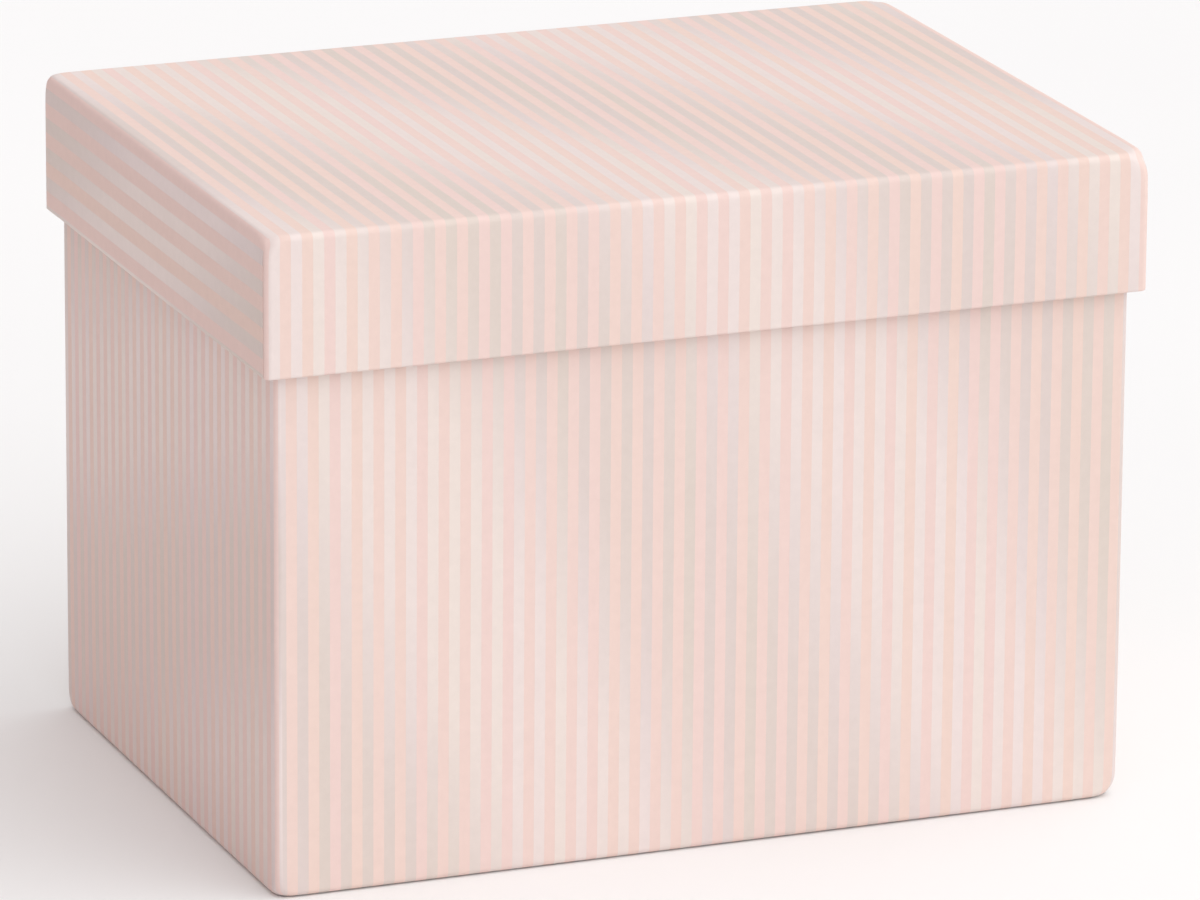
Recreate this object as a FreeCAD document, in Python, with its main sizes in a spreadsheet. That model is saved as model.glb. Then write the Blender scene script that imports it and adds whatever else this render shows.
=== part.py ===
import FreeCAD, Part
import os

import Sketcher

# A rectangular rigid storage box with a lift-off lid, in millimetres.
# +X runs along the front, +Y runs to the back and +Z is up. The origin is the
# bottom centre. Each half is a tray of greyboard panels with mitred upright
# edges, paper stays on those edges, a paper lining inside and a paper wrap
# outside. The lid is the same tray upside down, larger all round, and its
# lining rests on the base's rim.

SIZES = [
    ("base_length", 240.0),  # base along X, over the wrap
    ("base_depth", 172.0),  # base along Y, over the wrap
    ("total_height", 180.0),  # closed box, floor to lid top
    ("lid_skirt", 38.0),  # outside height of the lid
    ("lid_overhang", 3.7),  # lid beyond the base, on each side
    ("board", 2.0),  # greyboard
    ("cover", 0.3),  # wrap paper with its glue, outside the board
    ("paper", 0.2),  # lining, underside sheet, and wrap turned in
    ("edge_radius", 1.8),  # outside radius of the covered edges
    ("corner_nip", 4.0),  # board taken off each closed corner, along its diagonal
    ("turn_in", 15.0),  # wrap folded inside the mouth and under the floor
    ("stay_paper", 0.12),  # corner stay thickness
    ("stay_leg", 15.0),  # corner stay width on each wall
    ("stay_margin", 8.0),  # board left bare above and below a stay
    ("sheet_inset", 4.0),  # underside sheet back from the base's edges
]

WALL_TURNS = {"front": 0, "right": 90, "back": 180, "left": 270}
CORNERS = {"front_left": (-1, -1), "front_right": (1, -1), "back_right": (1, 1), "back_left": (-1, 1)}
RECTANGLE = [(-1, -1), (1, -1), (1, 1), (-1, 1)]

doc = FreeCAD.newDocument("storage_box")
dims = doc.addObject("Spreadsheet::Sheet", "dims")
for row, (alias, value) in enumerate(SIZES, start=1):
    dims.set(f"A{row}", alias)
    dims.set(f"B{row}", str(value))
    dims.setAlias(f"B{row}", alias)
doc.recompute()

pieces = []


def piece(item):
    """Mark an object as one physical piece, labelled with its own name."""
    item.Label = item.Name
    pieces.append(item)
    return item


def shrunk(size, *layers):
    """Formula for a size less the named layers on both sides."""
    return "(" + " - ".join([size] + [f"2 * dims.{layer}" for layer in layers]) + ")"


def level(height, sign, *layers):
    """Formula for a height moved by the named layers, up for + and down for -."""
    return "(" + f" {sign} ".join([height] + [f"dims.{layer}" for layer in layers]) + ")"


def draw_rectangle(sketch, key, half_size, length, depth):
    """Draw a rectangle about the sketch's origin and bind its two sizes."""
    first = sketch.GeometryCount
    points = [FreeCAD.Vector(x * half_size, y * half_size, 0) for x, y in RECTANGLE]
    for i in range(4):
        sketch.addGeometry(Part.LineSegment(points[i], points[(i + 1) % 4]))
    for i in range(4):
        sketch.addConstraint(Sketcher.Constraint("Coincident", first + i, 2, first + (i + 1) % 4, 1))
        direction = "Vertical" if i % 2 else "Horizontal"
        sketch.addConstraint(Sketcher.Constraint(direction, first + i))
    sketch.addConstraint(Sketcher.Constraint("Symmetric", first, 1, first + 2, 1, -1, 1))
    spans = [("DistanceX", first, f"{key}_length", length), ("DistanceY", first + 1, f"{key}_depth", depth)]
    for kind, edge, name, formula in spans:
        number = sketch.addConstraint(Sketcher.Constraint(kind, edge, 1, edge, 2, 2.0 * half_size))
        sketch.renameConstraint(number, name)
        sketch.setExpression(f"Constraints.{name}", formula)


def panel(name, length, depth, low, high, hollow=None):
    """A body padded from a centred rectangle, less the rectangle hollow if one is given."""
    body = doc.addObject("PartDesign::Body", name)
    sketch = body.newObject("Sketcher::SketchObject", f"{name}_outline")
    plane = next(item for item in body.Origin.OriginFeatures if item.Role == "XY_Plane")
    sketch.AttachmentSupport = [(plane, "")]
    sketch.MapMode = "FlatFace"
    sketch.setExpression("AttachmentOffset.Base.z", low)
    draw_rectangle(sketch, "outer", 100.0, length, depth)
    if hollow:
        draw_rectangle(sketch, "inner", 50.0, *hollow)
    pad = body.newObject("PartDesign::Pad", f"{name}_pad")
    pad.Profile = sketch
    pad.setExpression("Length", f"{high} - {low}")
    return body


def rounded_block(name, length, depth, low, high, radius, closed=None):
    """A solid block with rounded upright edges, and rounded edges round the closed height too."""
    body = panel(name, length, depth, low, high)
    doc.recompute()
    pad = body.Tip
    box = pad.Shape.BoundBox
    closed_height = {"below": box.ZMin, "above": box.ZMax}.get(closed)
    names = []
    for number, edge in enumerate(pad.Shape.Edges, start=1):
        upright = edge.BoundBox.ZLength > 1.0
        on_closed_face = closed is not None and abs(edge.CenterOfMass.z - closed_height) < 0.01
        if upright or on_closed_face:
            names.append(f"Edge{number}")
    fillet = body.newObject("PartDesign::Fillet", f"{name}_edges")
    fillet.Base = (pad, names)
    fillet.setExpression("Radius", radius)
    return body


def joined(kind, name, base, tool):
    """A Part::Cut or Part::Common of two objects."""
    item = doc.addObject(kind, name)
    item.Base = base
    item.Tool = tool
    return item


def nipped_block(name, length, depth, low, high, closed):
    """The block that bounds the boards, with its four closed corners taken off flat.

    The nipped corners let the paper fold over them without splitting.
    """
    block = rounded_block(name, length, depth, low, high, "dims.edge_radius - dims.cover", closed)
    closed_height, closed_side = (low, -1) if closed == "below" else (high, 1)
    upward = FreeCAD.Vector(0, 0, 1)
    nips = doc.addObject("Part::MultiFuse", f"{name}_nips")
    cutters = []
    for where, (side_x, side_y) in CORNERS.items():
        cutter = doc.addObject("Part::Cylinder", f"{name}_nip_{where}")
        outward = FreeCAD.Vector(side_x, side_y, closed_side)
        cutter.Placement = FreeCAD.Placement(FreeCAD.Vector(), FreeCAD.Rotation(upward, outward))
        cutter.setExpression("Radius", "3 * dims.corner_nip")
        cutter.setExpression("Height", "2 * dims.corner_nip")
        corner = (f"{side_x} * {length} / 2", f"{side_y} * {depth} / 2", closed_height)
        for axis, start, side in zip("xyz", corner, (side_x, side_y, closed_side)):
            cutter.setExpression(f"Placement.Base.{axis}", f"{start} - {side} * dims.corner_nip / sqrt(3)")
        cutters.append(cutter)
    nips.Shapes = cutters
    return joined("Part::Cut", f"{name}_nipped", block, nips)


def wall_board(name, turn, width, distance, low, high, block):
    """One wall with mitred ends, its outer edges rounded by the board block.

    width is the wall's outer length and distance is the block's size across it.
    """
    wedge = doc.addObject("Part::Wedge", f"{name}_mitred")
    formulas = {
        "Xmin": f"-{width} / 2",
        "Xmax": f"{width} / 2",
        "X2min": f"-{width} / 2 + dims.board",
        "X2max": f"{width} / 2 - dims.board",
        "Ymin": f"-{distance} / 2",
        "Ymax": f"-{distance} / 2 + dims.board",
        "Zmin": low,
        "Z2min": low,
        "Zmax": high,
        "Z2max": high,
    }
    for size, formula in formulas.items():
        wedge.setExpression(size, formula)
    wedge.Placement = FreeCAD.Placement(FreeCAD.Vector(), FreeCAD.Rotation(FreeCAD.Vector(0, 0, 1), turn))
    return piece(joined("Part::Common", name, wedge, block))


def sheet_within(name, block, *sizes, **options):
    """A flat sheet, or a ring of them, kept clear of the block's nipped corners."""
    return piece(joined("Part::Common", name, panel(f"{name}_blank", *sizes, **options), block))


def corner_stay(name, side_x, side_y, length, depth, low, high, layer):
    """The part of a thin layer round the boards that lies at one upright edge."""
    corner = doc.addObject("Part::Box", f"{name}_corner")
    corner.setExpression("Length", "dims.stay_leg")
    corner.setExpression("Width", "dims.stay_leg")
    corner.setExpression("Height", f"{high} - {low}")
    for axis, side, size in (("x", side_x, length), ("y", side_y, depth)):
        start = f"{size} / 2 - dims.stay_leg" if side > 0 else f"-{size} / 2"
        corner.setExpression(f"Placement.Base.{axis}", start)
    corner.setExpression("Placement.Base.z", low)
    return piece(joined("Part::Common", name, layer, corner))


def build_tray(name, panel_name, length, depth, low, high, closed):
    """Make the boards, stays, linings and wrap of one half of the box.

    low and high bound the wrap's outside. closed says which of them the panel
    closes, below or above, and the mouth is at the other.
    """
    below = closed == "below"
    inward, outward = ("+", "-") if below else ("-", "+")
    shut, mouth = (low, high) if below else (high, low)

    def between(near_shut, near_mouth):
        return (near_shut, near_mouth) if below else (near_mouth, near_shut)

    panel_face = level(shut, inward, "cover")
    panel_back = level(shut, inward, "cover", "board")
    lining_back = level(shut, inward, "cover", "board", "paper")
    board_end = level(mouth, outward, "cover")
    fold_end = level(mouth, outward, "turn_in")
    boards = [shrunk(size, "cover") for size in (length, depth)]
    inner = [shrunk(size, "cover", "board") for size in (length, depth)]
    lined = [shrunk(size, "cover", "board", "paper") for size in (length, depth)]
    clear = [shrunk(size, "cover", "board", "paper", "paper") for size in (length, depth)]

    board_span = between(panel_face, board_end)
    block = nipped_block(f"{name}_board_block", *boards, *board_span, closed)
    for side, turn in WALL_TURNS.items():
        width, distance = boards if turn % 180 == 0 else boards[::-1]
        wall_board(f"{name}_{side}_board", turn, width, distance, *board_span, block)
    sheet_within(f"{name}_{panel_name}_board", block, *inner, *between(panel_face, panel_back))

    stay_low = level(board_span[0], "+", "stay_margin")
    stay_high = level(board_span[1], "-", "stay_margin")
    outside = [f"({size} + 2 * dims.stay_paper)" for size in boards]
    stay_radius = "dims.edge_radius - dims.cover + dims.stay_paper"
    stay_block = rounded_block(f"{name}_stay_block", *outside, stay_low, stay_high, stay_radius)
    layer = joined("Part::Cut", f"{name}_stay_layer", stay_block, block)
    stays = [
        corner_stay(f"{name}_corner_stay_{where}", *sides, *outside, stay_low, stay_high, layer)
        for where, sides in CORNERS.items()
    ]

    sheet_within(f"{name}_wall_liner", block, *inner, *between(panel_back, board_end), hollow=lined)
    sheet_within(f"{name}_{panel_name}_liner", block, *lined, *between(panel_back, lining_back))

    # The wrap is what is left of the whole outside once the boards, the room
    # inside its turned-in edge and the stays are taken away.
    envelope = rounded_block(f"{name}_envelope", length, depth, low, high, "dims.edge_radius", closed)
    turned_room = panel(f"{name}_turned_room", *lined, *between(fold_end, mouth))
    filling = joined("Part::Cut", f"{name}_filling", block, turned_room)
    skin = joined("Part::Cut", f"{name}_skin", envelope, filling)
    opening = panel(f"{name}_mouth", *clear, *between(fold_end, mouth))
    removed = [opening] + stays
    if below:
        window = [shrunk(size, "turn_in") for size in (length, depth)]
        removed.append(panel(f"{name}_window", *window, *between(shut, panel_face)))
    for number, tool in enumerate(removed[:-1], start=1):
        skin = joined("Part::Cut", f"{name}_skin_{number}", skin, tool)
    piece(joined("Part::Cut", f"{name}_wrap", skin, removed[-1]))


def build_underside_sheet():
    """The sheet under the floor, which the box stands on and which hides the wrap's edge."""
    size = [shrunk(f"dims.{side}", "sheet_inset") for side in ("base_length", "base_depth")]
    piece(panel("base_underside_sheet", *size, "0", "dims.paper"))


def check(item):
    """Stop if an object failed to recompute."""
    if "Invalid" in item.State or "Error" in item.State:
        raise RuntimeError(f"{item.Name} did not recompute: {item.State}")


RIM = level("dims.total_height", "-", "cover", "board", "paper")
LID_LENGTH = "(dims.base_length + 2 * dims.lid_overhang)"
LID_DEPTH = "(dims.base_depth + 2 * dims.lid_overhang)"
LID_BOTTOM = level("dims.total_height", "-", "lid_skirt")

build_underside_sheet()
build_tray("base", "floor", "dims.base_length", "dims.base_depth", "dims.paper", RIM, "below")
build_tray("lid", "top", LID_LENGTH, LID_DEPTH, LID_BOTTOM, "dims.total_height", "above")
doc.recompute()

for item in doc.Objects:
    check(item)
for item in pieces:
    if item.Shape.isNull() or not item.Shape.isValid():
        raise RuntimeError(f"{item.Label} has no valid shape")

os.makedirs("parts", exist_ok=True)
for item in pieces:
    item.Shape.exportStep(f"parts/{item.Label}.step")
    box = item.Shape.BoundBox
    print(
        f"{item.Label:32s} solids {len(item.Shape.Solids)} volume {item.Shape.Volume:10.1f}"
        f"  z {box.ZMin:7.2f} to {box.ZMax:7.2f}"
    )
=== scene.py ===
# Looks of a striped storage box with a lift-off lid, in metres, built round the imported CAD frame.
# +X runs along the front, +Y to the back and +Z up. The boards and corner stays stay as the CAD
# has them. Every paper layer is modelled again here: wraps with folded edges, turned-in flaps and
# overlaps, and the linings inside.

import math

import bmesh
import bpy
import numpy as np
from mathutils import Euler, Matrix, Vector, noise


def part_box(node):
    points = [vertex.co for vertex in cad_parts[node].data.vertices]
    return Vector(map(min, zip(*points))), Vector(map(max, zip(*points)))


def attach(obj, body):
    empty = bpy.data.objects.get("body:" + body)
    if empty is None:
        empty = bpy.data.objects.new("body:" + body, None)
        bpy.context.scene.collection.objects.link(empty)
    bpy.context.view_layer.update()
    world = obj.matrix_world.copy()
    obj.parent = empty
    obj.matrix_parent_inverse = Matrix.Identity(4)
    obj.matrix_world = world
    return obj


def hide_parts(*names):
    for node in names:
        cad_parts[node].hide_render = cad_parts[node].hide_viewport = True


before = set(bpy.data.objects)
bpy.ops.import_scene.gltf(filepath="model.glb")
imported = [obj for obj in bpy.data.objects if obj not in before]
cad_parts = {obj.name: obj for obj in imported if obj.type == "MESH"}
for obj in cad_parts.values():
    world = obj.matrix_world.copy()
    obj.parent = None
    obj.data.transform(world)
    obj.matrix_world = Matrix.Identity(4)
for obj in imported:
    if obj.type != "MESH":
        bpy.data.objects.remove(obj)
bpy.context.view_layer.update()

MM = 0.001

# ---------------------------------------------------------------------------
# Sizes, from the frame
# ---------------------------------------------------------------------------

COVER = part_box("base_floor_board")[0].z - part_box("base_wrap")[0].z
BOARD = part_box("base_floor_board")[1].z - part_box("base_floor_board")[0].z
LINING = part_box("base_floor_liner")[1].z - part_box("base_floor_liner")[0].z
WALL = COVER + BOARD + 2 * LINING  # thickness of a wall where the wrap is turned in

EDGE_RADIUS = 1.8 * MM  # covered edges of the boards
RIM_RADIUS = 0.6 * MM  # outer edge of the mouth
FOLD_RADIUS = 0.45 * MM  # inner edge of the mouth
INNER_CORNER = 0.5 * MM  # upright corners inside
TURN_IN = 15.0 * MM  # wrap folded inside the mouth, and under the floor
PAPER = 0.18 * MM  # thickness of the papers
OVERLAP = 13.0 * MM  # tabs and seams where one layer of wrap lies on another
LAYER_LIFT = 0.14 * MM  # how far an overlap stands proud

CORNER_SOFT = 0.8 * MM  # how softly a flattened corner runs into the edges
WALL_BOW = 0.40 * MM  # outward bow of the walls
BOW_AT_CLOSED_FACE = 0.1  # where on a half wave the bow starts
BOW_SPREAD = 0.75  # how much of a half wave it takes up to the mouth
PANEL_BOW = 0.30 * MM  # upward bow of the lid's top
RIPPLE = 0.035 * MM  # unevenness of glued paper
RIPPLE_LENGTH = 28.0 * MM  # size of its waves
WEAR_AND_HIGHLIGHT_REACH = 1.1 * MM  # how far from a fold the print is rubbed pale and a highlight is painted

# ---------------------------------------------------------------------------
# The print on the wrap
# ---------------------------------------------------------------------------

LID_PITCH = 6.02 * MM  # one pearl stripe and one pink stripe
BASE_PITCH = 5.97 * MM
FLAP_PITCH = 8.25 * MM  # on the lid's side flaps
SIDE_PITCH = 6.2 * MM  # on the base's left wall
SHEEN_PERIOD = 125.0 * MM  # between two dark diagonals, across the stripes
SHEEN_SLOPE = 0.48  # how far the diagonals move across per step along the stripes
TOP_SLOPE = 0.6
CORNER_STRETCH = 2.14  # print that passes in an upright corner of the base, as a share of its arc

# Walls as seen from outside: along the wall to the right, and outward.
WALLS = {
    "front": (Vector((1, 0, 0)), Vector((0, -1, 0))),
    "right": (Vector((0, 1, 0)), Vector((1, 0, 0))),
    "back": (Vector((-1, 0, 0)), Vector((0, 1, 0))),
    "left": (Vector((0, -1, 0)), Vector((-1, 0, 0))),
}
UP = Vector((0, 0, 1))


class Tray:
    """One half of the box: its outer size, its closed face and its mouth.

    corner_nips says how far in, along its diagonal, each closed corner is flattened, keyed by its side.
    """

    def __init__(self, body, opens_up, corner_nips):
        low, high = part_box(f"{body}_wrap")
        self.body = body
        self.half_x = (high.x - low.x) / 2
        self.half_y = (high.y - low.y) / 2
        self.height = high.z - low.z
        self.shut = low.z if opens_up else high.z
        self.up = 1 if opens_up else -1  # from the closed face to the mouth
        self.bulge = 0.0 if opens_up else PANEL_BOW
        self.noise_place = Vector((7.3, 1.7, 4.1)) * self.up
        self.corner_nips = corner_nips

    def spans(self, wall):
        """Half the wall's length, and its distance from the middle."""
        if wall in ("front", "back"):
            return self.half_x, self.half_y
        return self.half_y, self.half_x

    def corners(self):
        """The four sharp corners of the closed face, each with the way in and its nip."""
        for (x, y), nip in self.corner_nips.items():
            corner = Vector((x * self.half_x, y * self.half_y, self.shut))
            yield corner, Vector((-x, -y, self.up)).normalized(), nip


# ---------------------------------------------------------------------------
# Patches of paper
# ---------------------------------------------------------------------------


class Patch:
    """A grid of points, each with its place on the print (stripe, sheen) and its wear and painted
    highlight.
    """

    def __init__(self, rows, flip=False):
        self.rows = rows
        self.flip = flip


END_STEPS = (0.4 * MM, 1.2 * MM, 2.2 * MM, 3.4 * MM, 5.0 * MM)


def spread(length, spacing):
    """Fractions from 0 to 1 about spacing apart, and closer together near both ends."""
    near = [step for step in END_STEPS if step < 0.45 * length]
    start = near[-1] if near else 0.0
    steps = max(1, round((length - 2 * start) / spacing))
    middle = [start + (length - 2 * start) * i / steps for i in range(steps + 1)]
    places = {0.0, length, *near, *(length - step for step in near), *middle}
    return sorted({round(place / length, 9) for place in places})


def round_corners(points, radii):
    """Straight runs between rounded square corners, and each corner's arc as a centre and two arms."""
    starts, ends, arcs = [points[0]], [], []
    for before, corner, after, radius in zip(points, points[1:], points[2:], radii):
        arrive = (corner - before) / np.linalg.norm(corner - before)
        leave = (after - corner) / np.linalg.norm(after - corner)
        first = corner - arrive * radius
        last = corner + leave * radius
        centre = first + leave * radius
        arcs.append((centre, first - centre, last - centre))
        ends.append(first)
        starts.append(last)
    ends.append(points[-1])
    return list(zip(starts, ends)), arcs


def section(corners, radii=(), spacing=7.0 * MM):
    """Sample a wall's section, a polyline of (out, rise) whose corners are rounded.

    Returns rows of (out, rise, length along the section, distance to the nearest rounded corner).
    """
    runs, arcs = round_corners([np.array(c, dtype=float) for c in corners], radii)
    line, middles = [], []
    for i, (start, end) in enumerate(runs):
        length = np.linalg.norm(end - start)
        line += [start + (end - start) * f for f in spread(length, spacing)]
        if i < len(arcs):
            centre, first, last = arcs[i]
            steps = 8 if radii[i] > MM else 4
            for k in range(1, steps):
                angle = math.pi / 2 * k / steps
                line.append(centre + first * math.cos(angle) + last * math.sin(angle))
            middles.append(len(line) - steps // 2)
    gaps = [0.0] + [float(np.linalg.norm(b - a)) for a, b in zip(line, line[1:])]
    along = np.cumsum(gaps)
    return [
        (point[0], point[1], s, min((abs(s - along[m]) for m in middles), default=1.0))
        for point, s in zip(line, along)
    ]


def smooth(value, low, high):
    """0 below low, 1 above high, and a smooth step between."""
    t = min(max((value - low) / (high - low), 0.0), 1.0)
    return t * t * (3 - 2 * t)


def hand_made(tray, point, outward, out, rise, along_share):
    """Move a point of a flat, sharp tray to where glued paper really lies."""
    on_wall = smooth(rise, 0, 2 * EDGE_RADIUS)
    outside = smooth(out, -WALL, -COVER)
    height_share = min(1.0, rise / tray.height)
    wall_bow = WALL_BOW * math.sin(math.pi * (BOW_AT_CLOSED_FACE + BOW_SPREAD * height_share))
    point = point + outward * wall_bow * max(0.0, 1 - along_share**2) * on_wall * outside
    from_ends = max(0.0, 1 - (point.x / tray.half_x) ** 2)
    from_sides = max(0.0, 1 - (point.y / tray.half_y) ** 2)
    point = point - UP * tray.up * tray.bulge * from_ends * from_sides * (1 - on_wall)
    face = outward * on_wall - UP * tray.up * (1 - on_wall)
    point = point + face * RIPPLE * noise.noise(point / RIPPLE_LENGTH + tray.noise_place)
    for corner, inward, nip in tray.corners():
        short = (nip - (point - corner).dot(inward)) / CORNER_SOFT
        if short > -8:  # further in, the corner is too far away to matter
            point = point + inward * CORNER_SOFT * math.log1p(math.exp(short))
    return point


def side_of_wall(s, over_rim):
    """1 on the outside of a wall, -1 on the inside, and 0 where the sheet goes over the rim."""
    return 1 - 2 * smooth(s, over_rim - 2 * MM, over_rim + 2 * MM)


def fold_wear_and_highlight(distance):
    """How much a fold is rubbed pale, with a painted highlight: 1 on the middle of a fold, 0 a few
    millimetres away from it.
    """
    return math.exp(-((distance / WEAR_AND_HIGHLIGHT_REACH) ** 2))


def wrap_section(tray, on_closed_face):
    """A wrap's section: across the closed face, up the wall, over the rim and down inside."""
    mouth = tray.height
    corners = [(-on_closed_face, 0), (0, 0), (0, mouth), (-WALL, mouth), (-WALL, mouth - TURN_IN)]
    return section(corners, [EDGE_RADIUS, RIM_RADIUS, FOLD_RADIUS])


def shares(tray, wall, spacing=8.0 * MM):
    """Places along a wall, from -1 to 1, where its straight columns stand."""
    straight = tray.spans(wall)[0] - EDGE_RADIUS
    return [2 * f - 1 for f in spread(2 * straight, spacing)]


def wall_columns(tray, wall, arcs):
    """Straight columns by their share of the wall, and arc columns by their angle round a corner."""
    angles = [math.radians(a) for a in np.linspace(0, 90, 9)[1:]]
    columns = [("line", share) for share in shares(tray, wall)]
    if arcs == "both":
        columns = [("arc", -angle) for angle in reversed(angles)] + columns
    if arcs in ("both", "right"):
        columns += [("arc", angle) for angle in angles]
    return columns


def wall_patch(tray, wall, path, print_at, arcs="both", lift=None, lining=False):
    """Paper on one wall: straight columns, with arcs round both upright corners, the right one or none.

    print_at(across, s) gives the print at a distance across the wall and s along the section, and
    lift(across, s) how far the paper stands proud of the board.
    """
    along, outward = WALLS[wall]
    half, distance = tray.spans(wall)
    columns = wall_columns(tray, wall, arcs)
    rows = []
    for out, rise, s, fold in path:
        in_mouth = out < -COVER and rise > BOARD / 2
        radius = max(EDGE_RADIUS + out, INNER_CORNER if in_mouth else 0.0)
        reach = half + out - radius
        row = []
        for kind, value in columns:
            # Folds and upright corners get rubbed print and a painted highlight.
            wear_and_highlight = fold_wear_and_highlight(fold)
            if kind == "line":
                across, normal = value * reach, outward
                flat = along * across + outward * (distance + out)
            else:
                side = math.copysign(1, value)
                across = side * (reach + radius * abs(value))
                normal = outward * math.cos(value) + along * math.sin(value)
                centre = along * side * reach + outward * (distance + out - radius)
                flat = centre + normal * radius
                wear_and_highlight = max(wear_and_highlight, fold_wear_and_highlight(EDGE_RADIUS * (abs(value) - math.pi / 4)))
            proud = lift(across, s) if lift else 0.0
            flat += normal * proud + UP * (tray.shut + tray.up * rise)
            along_share = min(1.0, abs(across) / (half - EDGE_RADIUS))
            point = hand_made(tray, flat, normal, out, rise, along_share)
            row.append((point, *print_at(across, s), wear_and_highlight))
        rows.append(row)
    return Patch(rows, flip=(tray.up < 0) != lining)


def panel_patch(tray, margin, print_at):
    """Paper on the flat middle of a closed face, with its columns in line with the walls'."""
    rows = []
    for y in shares(tray, "right"):
        row = []
        for x in shares(tray, "front"):
            flat = Vector((x * (tray.half_x - margin), y * (tray.half_y - margin), tray.shut))
            point = hand_made(tray, flat, Vector((0, 0, 0)), 0, 0, 0)
            row.append((point, *print_at(flat.x, flat.y), 0.0))
        rows.append(row)
    return Patch(rows, flip=tray.up > 0)


def sheet_patch(half_x, half_y, height_at, facing_up, spacing=6.0 * MM):
    """A loose flat sheet whose height varies from place to place."""
    xs = [half_x * (2 * f - 1) for f in spread(2 * half_x, spacing)]
    ys = [half_y * (2 * f - 1) for f in spread(2 * half_y, spacing)]
    rows = [[(Vector((x, y, height_at(x, y))), x, y, 0.0) for x in xs] for y in ys]
    return Patch(rows, flip=not facing_up)


def paper_object(name, patches, body, node, material):
    """Join patches into one sheet with a real thickness, riding on a body in place of a CAD node."""
    bm = bmesh.new()
    prints = bm.loops.layers.uv.new("print")
    wear_and_highlight_layer = bm.verts.layers.float.new("wear_and_highlight")
    for patch in patches:
        grid = []
        for row in patch.rows:
            verts = []
            for point, _, _, wear_and_highlight in row:
                vert = bm.verts.new(point)
                vert[wear_and_highlight_layer] = wear_and_highlight
                verts.append(vert)
            grid.append(verts)
        for i in range(len(grid) - 1):
            for j in range(len(grid[i]) - 1):
                places = [(i, j), (i, j + 1), (i + 1, j + 1), (i + 1, j)]
                if patch.flip:
                    places.reverse()
                face = bm.faces.new([grid[r][c] for r, c in places])
                face.smooth = True
                for loop, (r, c) in zip(face.loops, places):
                    loop[prints].uv = patch.rows[r][c][1:3]
    bmesh.ops.remove_doubles(bm, verts=bm.verts, dist=0.01 * MM)
    mesh = bpy.data.meshes.new(name)
    bm.to_mesh(mesh)
    bm.free()
    mesh.materials.append(material)
    piece = bpy.data.objects.new(name, mesh)
    bpy.context.scene.collection.objects.link(piece)
    solid = piece.modifiers.new("thickness", "SOLIDIFY")
    solid.thickness = PAPER
    solid.offset = -1
    solid.use_even_offset = False
    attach(piece, body)
    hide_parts(node)
    return piece


# ---------------------------------------------------------------------------
# Lid wrap
# ---------------------------------------------------------------------------

TOP_MARGIN = 8.0 * MM  # between the flat middle of the lid's sheet and its edges
LID_FIRST_PINK = 5.4 * MM  # middle of the first pink stripe, from the left edge
LID_DARK = 62.5 * MM  # a dark diagonal, where it meets the front edge
FLAP_DARK = 163.0 * MM  # a dark diagonal on the side flaps, from the front
FLAP_SLOPE = 1.6  # how far it moves back per step down


def lid_stripe(tray, u):
    """Stripes counted along the lid's sheet: whole numbers are the middles of pink ones."""
    return (u + tray.half_x - LID_FIRST_PINK) / LID_PITCH


def lid_sheen(tray, u, v):
    """Sheen on the lid's top and long flaps, in periods from a dark diagonal."""
    over = max(0.0, abs(v) - tray.half_y)
    on_top = max(-tray.half_y, min(tray.half_y, v))
    drift = TOP_SLOPE * (on_top + tray.half_y) + SHEEN_SLOPE * math.copysign(over, v)
    return (u + drift - LID_DARK) / SHEEN_PERIOD


def lid_print(tray, wall):
    """The print's place on one flap of the lid's sheet, which is cut from one piece with the top."""
    half, distance = tray.spans(wall)
    side = -1 if wall in ("front", "left") else 1
    jump = round((side * distance - LID_DARK + TOP_SLOPE * FLAP_DARK) / SHEEN_PERIOD)

    def long_flap(across, s):
        u = -side * across
        v = side * (distance - TOP_MARGIN + s)
        return lid_stripe(tray, u), lid_sheen(tray, u, v)

    def side_flap(across, s):
        down = max(0.0, s - TOP_MARGIN)
        on_top = distance - TOP_MARGIN + min(s, TOP_MARGIN)
        v = side * across
        top_sheen = lid_sheen(tray, side * on_top, v)
        flap_sheen = (v + half - FLAP_DARK - FLAP_SLOPE * down) * TOP_SLOPE / SHEEN_PERIOD + jump
        past_edge = smooth(s, TOP_MARGIN - 3 * MM, TOP_MARGIN + 3 * MM)
        sheen = top_sheen * (1 - past_edge) + flap_sheen * past_edge
        return lid_stripe(tray, side * (on_top + down * LID_PITCH / FLAP_PITCH)), sheen

    return long_flap if wall in ("front", "back") else side_flap


def lid_wrap(tray, material):
    """One sheet: the top, long flaps that turn the corners, and side flaps glued over their ends."""
    path = wrap_section(tray, TOP_MARGIN)
    patches = [panel_patch(tray, TOP_MARGIN, lambda x, y: (lid_stripe(tray, x), lid_sheen(tray, x, y)))]
    patches += [wall_patch(tray, wall, path, lid_print(tray, wall)) for wall in ("front", "back")]
    straight = tray.half_y - EDGE_RADIUS
    over_rim = TOP_MARGIN + tray.height + WALL / 2

    def lift(across, s):
        near_corner = 1 - smooth(straight - abs(across), OVERLAP - 2 * MM, OVERLAP)
        down_the_skirt = smooth(s, TOP_MARGIN + 1 * MM, TOP_MARGIN + 5 * MM)
        return LAYER_LIFT * near_corner * down_the_skirt * side_of_wall(s, over_rim)

    for wall in ("left", "right"):
        patches.append(wall_patch(tray, wall, path, lid_print(tray, wall), arcs="none", lift=lift))
    return paper_object("lid_wrap_paper", patches, "lid", "lid_wrap", material)


# ---------------------------------------------------------------------------
# Base wrap
# ---------------------------------------------------------------------------

BASE_FIRST_PINK = 4.5 * MM  # middle of the front's first pink stripe, from the left edge
BASE_DARK = 32.5 * MM  # a dark diagonal, where it meets the floor
LEFT_DARK = 82.5 * MM  # height of the left wall's dark diagonal at the front corner
LEFT_SLOPE = 0.31  # how far it falls per step to the back
LEFT_PERIOD = 110.0 * MM


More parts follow.
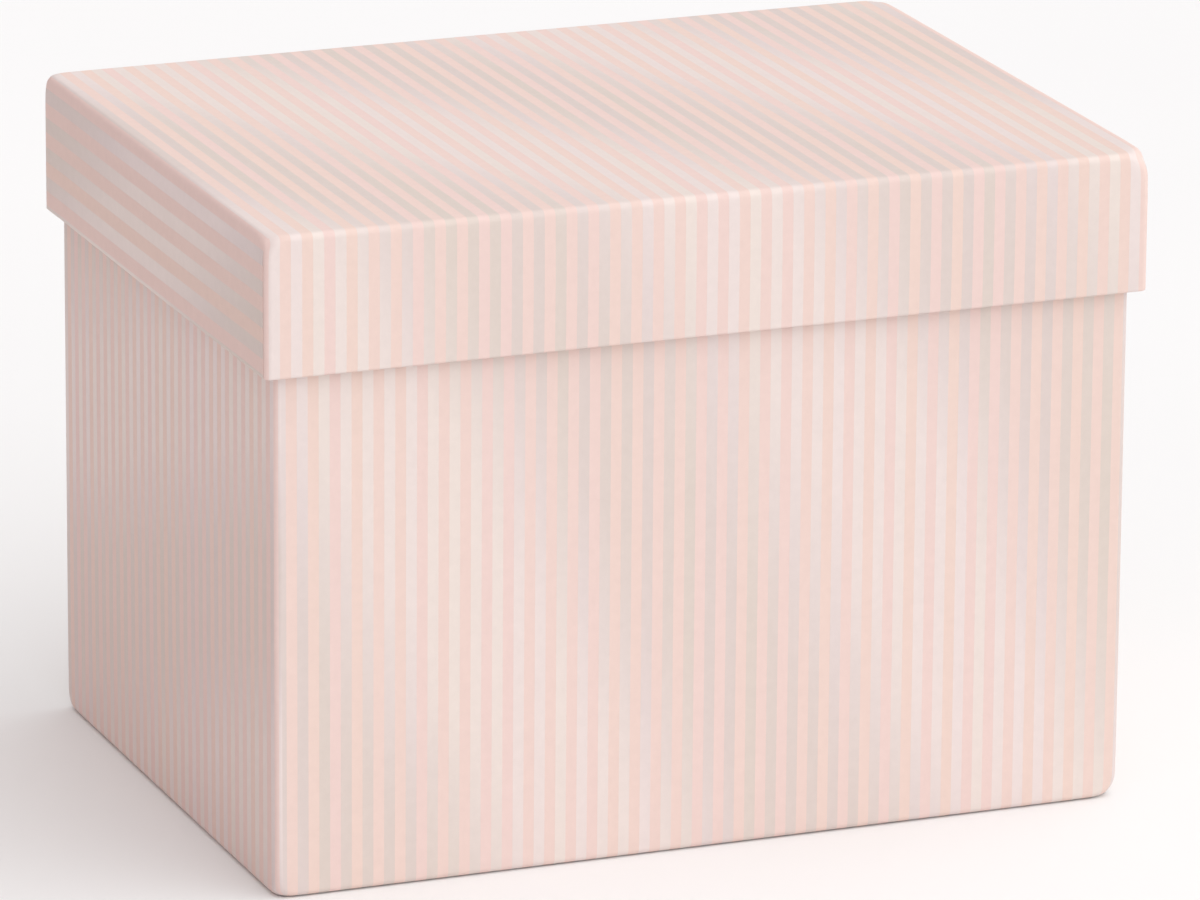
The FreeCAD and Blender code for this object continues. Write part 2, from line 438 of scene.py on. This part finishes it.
def base_starts(tray):
    """How far round the band each wall's middle is, with the front's at 0."""
    front = tray.half_x - EDGE_RADIUS
    side = tray.half_y - EDGE_RADIUS
    corner = CORNER_STRETCH * EDGE_RADIUS * math.pi / 2
    right = front + corner + side
    return {
        "left": -(front + corner + side * BASE_PITCH / SIDE_PITCH),
        "front": 0.0,
        "right": right,
        "back": right + side + corner + front,
    }


def base_print(tray, wall):
    """The print's place on the band round the four walls."""
    start = base_starts(tray)[wall]
    straight = tray.spans(wall)[0] - EDGE_RADIUS
    scale = BASE_PITCH / SIDE_PITCH if wall == "left" else 1.0

    def place(across, s):
        height = tray.shut + s - TURN_IN
        past = max(0.0, abs(across) - straight) * CORNER_STRETCH
        u = start + math.copysign(min(abs(across), straight) * scale + past, across)
        if wall == "left":
            sheen = (height + LEFT_SLOPE * (straight - across) - LEFT_DARK) / LEFT_PERIOD
        else:
            sheen = (u + SHEEN_SLOPE * height - BASE_DARK) / SHEEN_PERIOD
        return (u + tray.half_x - BASE_FIRST_PINK) / BASE_PITCH, sheen

    return place


def base_wrap(tray, material):
    """A band round the four walls, turned in over the rim and under the floor."""
    path = wrap_section(tray, TURN_IN)
    seam_end = tray.half_x - EDGE_RADIUS
    over_rim = TURN_IN + tray.height + WALL / 2

    def seam(across, s):
        at_end = smooth(across, seam_end - OVERLAP, seam_end - OVERLAP + 2 * MM)
        return LAYER_LIFT * at_end * side_of_wall(s, over_rim)

    patches = [
        wall_patch(tray, "left", path, base_print(tray, "left"), arcs="both"),
        wall_patch(tray, "front", path, base_print(tray, "front"), arcs="right"),
        wall_patch(tray, "right", path, base_print(tray, "right"), arcs="right"),
        wall_patch(tray, "back", path, base_print(tray, "back"), arcs="none", lift=seam),
    ]
    return paper_object("base_wrap_paper", patches, "base", "base_wrap", material)


# ---------------------------------------------------------------------------
# Linings and the sheet underneath
# ---------------------------------------------------------------------------

LINING_TRIM = 0.15 * MM  # a flat lining's cut edges, back from the walls
LINING_WAVE = 0.03 * MM  # unevenness of the flat linings and the sheet underneath
EDGE_PRESS = 0.04 * MM  # how far a flat lining's edges are rubbed down
MOUTH_GAP = 0.4 * MM  # between the wall lining's top edge and the fold at the mouth
PRESSED_UP = 0.22 * MM  # how far the sheet underneath is pressed up between the turned-in flaps


def wall_lining(tray, material):
    """Lining round the inside of the walls, with a lapped joint at one corner."""
    node = f"{tray.body}_wall_liner"
    low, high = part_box(node)
    out = LINING - WALL
    ends = sorted((z - tray.shut) * tray.up for z in (low.z, high.z))
    path = section([(out, ends[0]), (out, ends[1] - MOUTH_GAP)], spacing=12 * MM)
    lap_end = tray.half_x - EDGE_RADIUS
    under_fold = ends[1] - ends[0] - TURN_IN

    def lap(across, s):
        at_end = smooth(across, lap_end - OVERLAP, lap_end - OVERLAP + 2 * MM)
        return -LAYER_LIFT * at_end * (1 - smooth(s, under_fold - 3 * MM, under_fold))

    patches = [
        wall_patch(tray, wall, path, lambda across, s: (across, s), arcs, lift, lining=True)
        for wall, arcs, lift in (
            ("left", "both", None),
            ("front", "right", None),
            ("right", "right", None),
            ("back", "none", lap),
        )
    ]
    return paper_object(f"{tray.body}_wall_lining", patches, tray.body, node, material)


def flat_lining(name, node, body, facing_up, material):
    """Lining on the inner face of a closed panel, waved a little where the glue is uneven."""
    low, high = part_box(node)
    face = high.z if facing_up else low.z
    inward = 1 if facing_up else -1

    def height_at(x, y):
        edge = min(high.x - abs(x), high.y - abs(y))
        wave = LINING_WAVE * noise.noise(Vector((x, y, face)) / (22 * MM))
        pressed = EDGE_PRESS * (1 - smooth(edge, 0, 3 * MM))
        return face + (wave - pressed) * inward

    patch = sheet_patch(high.x - LINING_TRIM, high.y - LINING_TRIM, height_at, facing_up)
    return paper_object(name, [patch], body, node, material)


def underside_paper(material):
    """Sheet glued over the turned-in flaps, pressed up against the board between them."""
    node = "base_underside_sheet"
    low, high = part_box(node)
    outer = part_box("base_wrap")[1]

    def height_at(x, y):
        inside_flaps = min(outer.x - TURN_IN - abs(x), outer.y - TURN_IN - abs(y))
        pressed = smooth(inside_flaps, -0.5 * MM, 2.5 * MM)
        wave = 0.5 + 0.5 * noise.noise(Vector((x, y, 0.3)) / (18 * MM))
        return low.z + PRESSED_UP * pressed + LINING_WAVE * wave

    patch = sheet_patch(high.x, high.y, height_at, facing_up=False, spacing=3.0 * MM)
    return paper_object("base_underside_paper", [patch], "base", node, material)


# ---------------------------------------------------------------------------
# Materials
# ---------------------------------------------------------------------------


class Nodes:
    """Short calls for building a node tree."""

    def __init__(self, name):
        self.material = bpy.data.materials.new(name)
        self.material.use_nodes = True
        self.tree = self.material.node_tree
        self.shader = self.tree.nodes["Principled BSDF"]

    def add(self, kind, **settings):
        """A new node of a kind, with its settings."""
        node = self.tree.nodes.new(kind)
        for key, value in settings.items():
            setattr(node, key, value)
        return node

    def link(self, source, target):
        self.tree.links.new(source, target)

    def math(self, operation, a, b=None):
        """A Math node of two values, each a socket or a number."""
        node = self.add("ShaderNodeMath", operation=operation)
        for socket, value in zip(node.inputs, (a, b)):
            if isinstance(value, (int, float)):
                socket.default_value = value
            elif value is not None:
                self.link(value, socket)
        return node.outputs[0]

    def ramp(self, factor, stops):
        """A colour ramp with (place, colour) stops."""
        node = self.add("ShaderNodeValToRGB")
        elements = node.color_ramp.elements
        while len(elements) < len(stops):
            elements.new(0.5)
        for element, (place, colour) in zip(elements, stops):
            element.position = place
            element.color = (*colour, 1.0)
        self.link(factor, node.inputs[0])
        return node.outputs[0]

    def mix(self, factor, a, b, blend="MIX"):
        """Blend two colours, each a socket or a colour."""
        node = self.add("ShaderNodeMix", data_type="RGBA", blend_type=blend)
        for socket, value in ((node.inputs[0], factor), (node.inputs[6], a), (node.inputs[7], b)):
            if isinstance(value, (int, float)):
                socket.default_value = value
            elif isinstance(value, tuple):
                socket.default_value = (*value, 1.0)
            else:
                self.link(value, socket)
        return node.outputs[2]

    def span(self, value, low, high, to_low, to_high, smooth_step=False):
        """A socket's value carried from one range to another, and clamped to it."""
        kind = "SMOOTHSTEP" if smooth_step else "LINEAR"
        node = self.add("ShaderNodeMapRange", interpolation_type=kind)
        self.link(value, node.inputs[0])
        for socket, number in zip(node.inputs[1:5], (low, high, to_low, to_high)):
            socket.default_value = number
        return node.outputs[0]

    def noise(self, size, detail=3.0, roughness=0.55, stretch=(1, 1, 1)):
        """Noise in the object's own space, with features about size metres across."""
        place = self.add("ShaderNodeTexCoord").outputs["Object"]
        scaled = self.add("ShaderNodeMapping")
        scaled.inputs["Scale"].default_value = [s / size for s in stretch]
        self.link(place, scaled.inputs["Vector"])
        node = self.add("ShaderNodeTexNoise")
        node.inputs["Scale"].default_value = 1.0
        node.inputs["Detail"].default_value = detail
        node.inputs["Roughness"].default_value = roughness
        self.link(scaled.outputs[0], node.inputs["Vector"])
        return node.outputs["Fac"]

    def grey(self, value):
        """A colour with the same value in each channel."""
        node = self.add("ShaderNodeCombineColor")
        for socket in node.inputs:
            self.link(value, socket)
        return node.outputs[0]

    def bump(self, height, depth, under=None):
        """Relief of a given depth, on top of the relief under it."""
        node = self.add("ShaderNodeBump")
        node.inputs["Distance"].default_value = depth
        self.link(height, node.inputs["Height"])
        if under:
            self.link(under, node.inputs["Normal"])
        return node.outputs[0]

    def finish(self, colour, roughness, normal):
        """Join up the shader and return the material."""
        self.link(colour, self.shader.inputs["Base Color"])
        self.link(roughness, self.shader.inputs["Roughness"])
        self.link(normal, self.shader.inputs["Normal"])
        return self.material


PINK = (0.790, 0.615, 0.560)
COOL = (1.0, 0.992, 1.018)  # tints that single stripes lean to
WARM = (1.0, 1.006, 0.982)
PEARL_LIGHT = (0.785, 0.688, 0.650)
PEARL_MIDDLE = (0.730, 0.636, 0.605)
PEARL_DARK = (0.690, 0.598, 0.553)
RUBBED_AND_HIGHLIT = (0.86, 0.78, 0.74)  # print rubbed pale on the folds, which also paints a highlight along them
MOST_RUBBED_AND_HIGHLIT = 0.06


def pearl_mask(n, stripe_place):
    """1 on the pearl stripes, 0 on the pink, with slightly ragged edges."""
    ragged = n.math("MULTIPLY", n.math("SUBTRACT", n.noise(0.5 * MM), 0.5), 0.012)
    stripe = n.math("FRACT", n.math("ADD", stripe_place, ragged))
    off_centre = n.math("ABSOLUTE", n.math("SUBTRACT", stripe, 0.5))
    return n.span(off_centre, 0.235, 0.265, 1.0, 0.0, smooth_step=True)


def pearl_tone(n, sheen_place):
    """The pearl's colour, which changes in soft diagonals that wander a little."""
    wander = n.math("MULTIPLY", n.math("SUBTRACT", n.noise(60 * MM, detail=1.0), 0.5), 0.10)
    band = n.math("ADD", sheen_place, wander)
    wave = n.math("COSINE", n.math("MULTIPLY", band, 2 * math.pi))
    darkness = n.span(wave, -1.0, 1.0, 0.0, 1.0)
    stops = [(0.0, PEARL_LIGHT), (0.12, PEARL_LIGHT), (0.5, PEARL_MIDDLE), (0.92, PEARL_DARK)]
    return n.ramp(darkness, stops)


def stripe_tint(n, stripe_place):
    """A tint of its own for every stripe, from cool to warm."""
    single_stripe = n.math("FLOOR", n.math("MULTIPLY", n.math("ADD", stripe_place, 0.25), 2.0))
    chance = n.add("ShaderNodeTexWhiteNoise", noise_dimensions="1D")
    n.link(single_stripe, chance.inputs["W"])
    return n.mix(chance.outputs["Value"], COOL, WARM)


def striped_wrap_material():
    """Matte pink paper with glossy pearl stripes whose tone changes in soft diagonals."""
    n = Nodes("striped_wrap")
    place = n.add("ShaderNodeSeparateXYZ")
    n.link(n.add("ShaderNodeUVMap", uv_map="print").outputs[0], place.inputs[0])
    stripe_place = place.outputs["X"]
    pearl = pearl_mask(n, stripe_place)
    printed = n.mix(pearl, PINK, pearl_tone(n, place.outputs["Y"]))
    tinted = n.mix(1.0, printed, stripe_tint(n, stripe_place), blend="MULTIPLY")
    mottle = n.span(n.noise(2.5 * MM, detail=5.0), 0.3, 0.7, 0.985, 1.015)
    mottled = n.mix(1.0, tinted, n.grey(mottle), blend="MULTIPLY")
    # Paler along the folds: rubbed print, and a painted highlight where the folds catch the light.
    wear_and_highlight = n.add("ShaderNodeAttribute", attribute_name="wear_and_highlight").outputs["Fac"]
    patchy = n.span(n.noise(1.6 * MM, detail=4.0), 0.40, 0.80, 0.0, MOST_RUBBED_AND_HIGHLIT)
    worn_and_highlit = n.mix(n.math("MULTIPLY", wear_and_highlight, patchy), mottled, RUBBED_AND_HIGHLIT)

    grain = n.bump(n.noise(0.35 * MM, detail=2.0), 0.012 * MM)
    raised = n.bump(pearl, 0.006 * MM, under=grain)
    roughness = n.math("ADD", n.span(pearl, 0, 1, 0.72, 0.52), n.math("MULTIPLY", wear_and_highlight, 0.06))
    n.link(n.span(pearl, 0, 1, 0.0, 0.12), n.shader.inputs["Metallic"])
    n.shader.inputs["Specular IOR Level"].default_value = 0.2
    return n.finish(worn_and_highlit, roughness, raised)


def lining_material():
    """Uncoated off-white lining paper with fine fibres."""
    n = Nodes("lining_paper")
    cloud = n.span(n.noise(30 * MM, detail=2.0), 0.3, 0.7, 0.0, 1.0)
    base = n.mix(cloud, (0.83, 0.80, 0.755), (0.87, 0.845, 0.805))
    fibre = n.noise(1.4 * MM, detail=6.0, roughness=0.7, stretch=(1, 2.6, 1))
    flecks = n.span(fibre, 0.28, 0.40, 0.90, 1.0, smooth_step=True)
    colour = n.mix(1.0, base, n.grey(flecks), blend="MULTIPLY")
    tooth = n.bump(n.noise(0.3 * MM, detail=2.0), 0.015 * MM)
    felt = n.bump(fibre, 0.012 * MM, under=tooth)
    roughness = n.span(cloud, 0, 1, 0.80, 0.88)
    n.shader.inputs["Specular IOR Level"].default_value = 0.25
    return n.finish(colour, roughness, felt)


def greyboard_material():
    """Pressed recycled fibre: grey, with pale and dark fibres."""
    n = Nodes("greyboard")
    fibre = n.noise(1.2 * MM, detail=8.0, roughness=0.75, stretch=(1, 3.0, 1))
    stops = [(0.25, (0.17, 0.155, 0.135)), (0.55, (0.33, 0.31, 0.28)), (0.8, (0.46, 0.44, 0.40))]
    base = n.ramp(fibre, stops)
    specks = n.span(n.noise(0.8 * MM, detail=2.0), 0.66, 0.72, 0.0, 0.6, smooth_step=True)
    colour = n.mix(specks, base, (0.62, 0.60, 0.56))
    rough_face = n.bump(fibre, 0.05 * MM)
    roughness = n.span(fibre, 0.2, 0.8, 0.84, 0.95)
    n.shader.inputs["Specular IOR Level"].default_value = 0.2
    return n.finish(colour, roughness, rough_face)


def stay_material():
    """Brown gummed kraft paper, ribbed across."""
    n = Nodes("stay_paper")
    fibre = n.noise(1.5 * MM, detail=6.0, roughness=0.7, stretch=(1, 1, 0.3))
    colour = n.ramp(fibre, [(0.3, (0.33, 0.20, 0.11)), (0.7, (0.47, 0.31, 0.185))])
    relief = n.bump(fibre, 0.02 * MM)
    roughness = n.span(fibre, 0.3, 0.7, 0.62, 0.75)
    n.shader.inputs["Specular IOR Level"].default_value = 0.3
    return n.finish(colour, roughness, relief)


def floor_material():
    """Matte white studio paper."""
    n = Nodes("studio_floor")
    cloud = n.noise(400 * MM, detail=2.0)
    colour = n.ramp(cloud, [(0.3, (0.87, 0.87, 0.87)), (0.7, (0.885, 0.885, 0.885))])
    tooth = n.bump(n.noise(2.0 * MM), 0.01 * MM)
    roughness = n.span(cloud, 0.3, 0.7, 0.90, 0.95)
    n.shader.inputs["Specular IOR Level"].default_value = 0.1
    return n.finish(colour, roughness, tooth)


def paint_hidden_parts(nodes, greyboard, stay):
    """Give the boards and corner stays, which keep their CAD shapes, their materials."""
    for name, node in nodes.items():
        if name.endswith("_board") or "_corner_stay_" in name:
            node.data.materials.clear()
            node.data.materials.append(stay if "_corner_stay_" in name else greyboard)


# ---------------------------------------------------------------------------
# Studio
# ---------------------------------------------------------------------------

CAMERA_AZIMUTH = math.radians(-21.644)
CAMERA_ELEVATION = math.radians(16.722)
CAMERA_ROLL = math.radians(0.414)
CAMERA_AIM = Vector((0.0, -2.0, 72.0)) * MM
CAMERA_DISTANCE = 2519.4 * MM
CAMERA_SIDE = 2.775 * MM  # moved to its right and up, square to its line of sight
CAMERA_RISE = 13.636 * MM
LENS = 279.6

FLOOR_HALF = 12.0
FLOOR_DROP = 0.02 * MM  # just clear of the box's underside


def studio_floor():
    """A broad pale floor under the box."""
    bm = bmesh.new()
    bmesh.ops.create_grid(bm, x_segments=8, y_segments=8, size=FLOOR_HALF)
    mesh = bpy.data.meshes.new("studio_floor")
    bm.to_mesh(mesh)
    bm.free()
    mesh.materials.append(floor_material())
    floor = bpy.data.objects.new("studio_floor", mesh)
    floor.location.z = -FLOOR_DROP
    bpy.context.scene.collection.objects.link(floor)


def sun(name, towards_light, radiance, colour, softness):
    """A distant lamp, softness degrees across. radiance is what a white face towards it shows."""
    data = bpy.data.lights.new(name, "SUN")
    data.energy = radiance * math.pi
    data.color = colour
    data.angle = math.radians(softness)
    lamp = bpy.data.objects.new(name, data)
    lamp.rotation_euler = Vector(towards_light).to_track_quat("Z", "Y").to_euler()
    bpy.context.scene.collection.objects.link(lamp)


ROOM_LIGHT = 0.658
ROOM_LEAN = (0.51, -0.334, 0.48)  # how much brighter the room gets towards +X, +Y and overhead
WHITE = (1.0, 1.0, 1.0)
KEY_LIGHT = 0.15
KEY_TOWARDS = (0.30, -0.56, 0.77)
FILL_LIGHT = 0.06
FILL_TOWARDS = (-0.95, -0.1, 0.30)
FILL_COLOUR = (1.0, 0.1, 0.1)


def studio_lights():
    """A white room, brighter in front, overhead and to the right, a weak key and a warm left fill."""
    world = bpy.data.worlds.new("studio")
    world.use_nodes = True
    tree = world.node_tree
    place = tree.nodes.new("ShaderNodeTexCoord")
    lean = tree.nodes.new("ShaderNodeVectorMath")
    lean.operation = "DOT_PRODUCT"
    lean.inputs[1].default_value = ROOM_LEAN
    strength = tree.nodes.new("ShaderNodeMath")
    strength.operation = "ADD"
    strength.inputs[1].default_value = ROOM_LIGHT
    background = tree.nodes["Background"]
    background.inputs["Color"].default_value = (*WHITE, 1.0)
    tree.links.new(place.outputs["Generated"], lean.inputs[0])
    tree.links.new(lean.outputs["Value"], strength.inputs[0])
    tree.links.new(strength.outputs[0], background.inputs["Strength"])
    bpy.context.scene.world = world
    sun("key", KEY_TOWARDS, KEY_LIGHT, WHITE, softness=70)
    sun("fill", FILL_TOWARDS, FILL_LIGHT, FILL_COLOUR, softness=80)


def studio_camera():
    """The camera: a long lens, low over the front left corner."""
    a, e = CAMERA_AZIMUTH, CAMERA_ELEVATION
    right = Vector((math.cos(a), math.sin(a), 0))
    back = Vector((math.sin(a) * math.cos(e), -math.cos(a) * math.cos(e), math.sin(e)))
    up = back.cross(right)
    data = bpy.data.cameras.new("camera")
    data.lens = LENS
    data.sensor_width = 36
    data.clip_start = 0.1
    data.clip_end = 100
    camera = bpy.data.objects.new("camera", data)
    camera.location = CAMERA_AIM + right * CAMERA_SIDE + up * CAMERA_RISE + back * CAMERA_DISTANCE
    level = back.to_track_quat("Z", "Y")
    camera.rotation_euler = (level @ Euler((0, 0, CAMERA_ROLL)).to_quaternion()).to_euler()
    bpy.context.scene.collection.objects.link(camera)
    bpy.context.scene.camera = camera


# ---------------------------------------------------------------------------
# Scene
# ---------------------------------------------------------------------------

# How far each closed corner is flattened, by its sides in X and Y.
BASE_NIPS = {(-1, -1): 2.2 * MM, (1, -1): 3.0 * MM, (1, 1): 2.6 * MM, (-1, 1): 2.0 * MM}
LID_NIPS = {(-1, -1): 2.9 * MM, (1, -1): 3.5 * MM, (1, 1): 3.0 * MM, (-1, 1): 2.0 * MM}

base = Tray("base", opens_up=True, corner_nips=BASE_NIPS)
lid = Tray("lid", opens_up=False, corner_nips=LID_NIPS)

striped = striped_wrap_material()
lining = lining_material()

base_wrap(base, striped)
wall_lining(base, lining)
flat_lining("base_floor_lining", "base_floor_liner", "base", True, lining)
underside_paper(lining)

lid_wrap(lid, striped)
wall_lining(lid, lining)
flat_lining("lid_top_lining", "lid_top_liner", "lid", False, lining)

paint_hidden_parts(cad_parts, greyboard_material(), stay_material())

studio_floor()
studio_lights()
studio_camera()
bpy.context.scene.view_settings.view_transform = "Standard"
